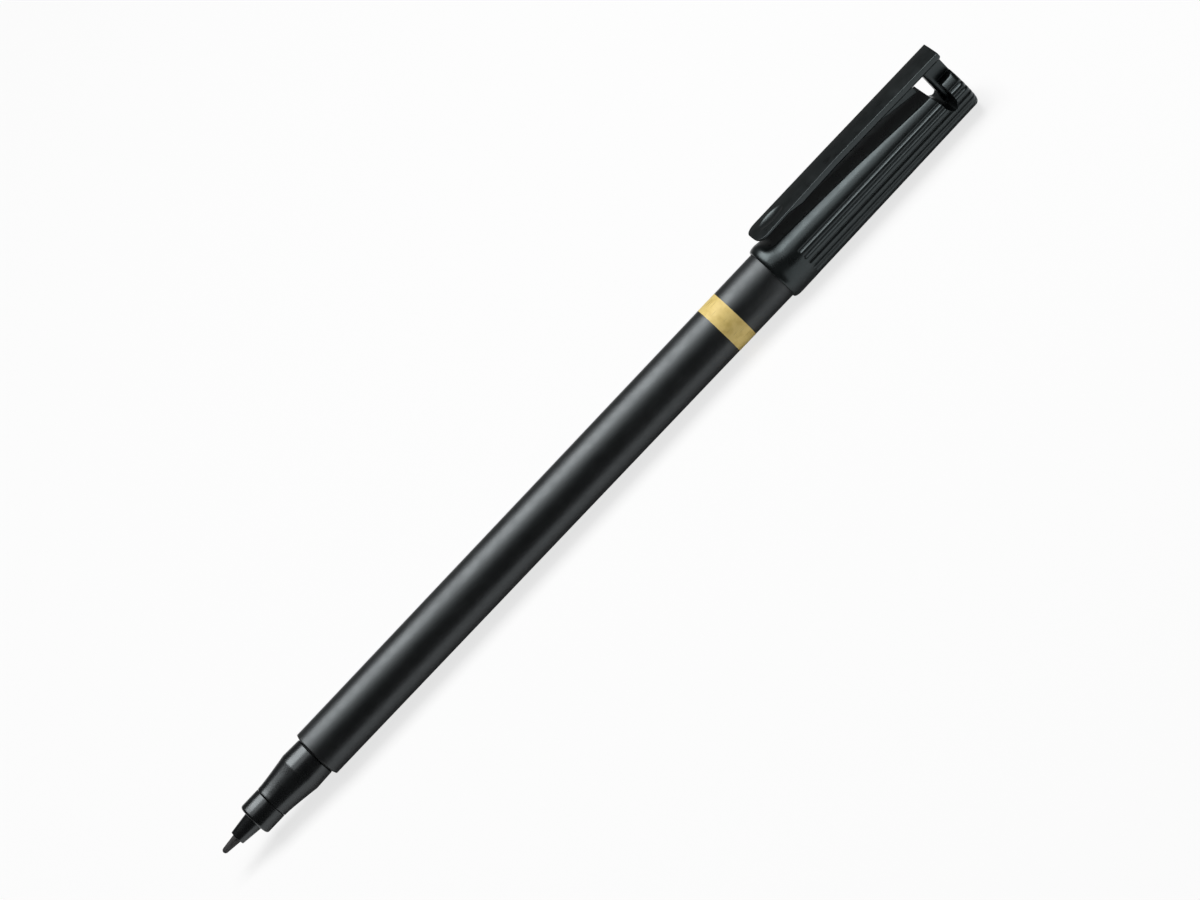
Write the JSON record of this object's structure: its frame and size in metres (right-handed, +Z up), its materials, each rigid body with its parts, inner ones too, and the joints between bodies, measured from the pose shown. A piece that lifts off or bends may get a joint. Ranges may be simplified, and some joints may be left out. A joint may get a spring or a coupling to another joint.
{
  "type": "permanent marker",
  "caption": "Slim felt-tip permanent marker with a tapered black barrel, gold band and a fluted clip cap pushed onto its rear end.",
  "frame": {"origin": "under the middle of the pen's length, on the surface that the cap's mouth rests on", "axes": "+X along the pen from the nib to the closed end of the cap, +Z up through the clip"},
  "size_m": [0.1548, 0.0096, 0.0116],
  "materials": {
    "nib_felt": "bonded fibre, ink soaked",
    "gloss_black": "smooth moulded",
    "barrel_black": "satin moulded",
    "gold_foil": "gold hot-stamped foil",
    "inked_fibre": "ink soaked fibre",
    "clear_film": "thin wrap",
    "cap_black": "fine grained moulded",
    "natural_plastic": "natural polyethylene"
  },
  "bodies": {
    "pen": {"nib": "nib_felt", "nib_holder": "gloss_black", "grip_section": "gloss_black", "barrel": "barrel_black", "foil_band": "gold_foil", "ink_reservoir": "inked_fibre", "reservoir_film": "clear_film", "end_plug": "gloss_black"},
    "inner_cap": {"cap_liner": "natural_plastic"},
    "cap": {"cap_shell": "cap_black"},
    "clip": {"clip": "cap_black"}
  },
  "joints": [
    {"name": "cap_slide", "type": "slide", "parent": "pen", "child": "inner_cap", "axis": [1, 0, 0], "range_m": [0, 0.03]},
    {"name": "cap_turn", "type": "hinge", "parent": "inner_cap", "child": "cap", "pos_m": [0.03812, 0, 0.00475], "axis": [1, 0, 0], "continuous": true},
    {"name": "clip_flex", "type": "hinge", "parent": "cap", "child": "clip", "pos_m": [0.07454, 0, 0.0109], "axis": [0, 1, 0], "range_deg": [0, 4], "stiffness_Nm_per_rad": 1.2}
  ]
}
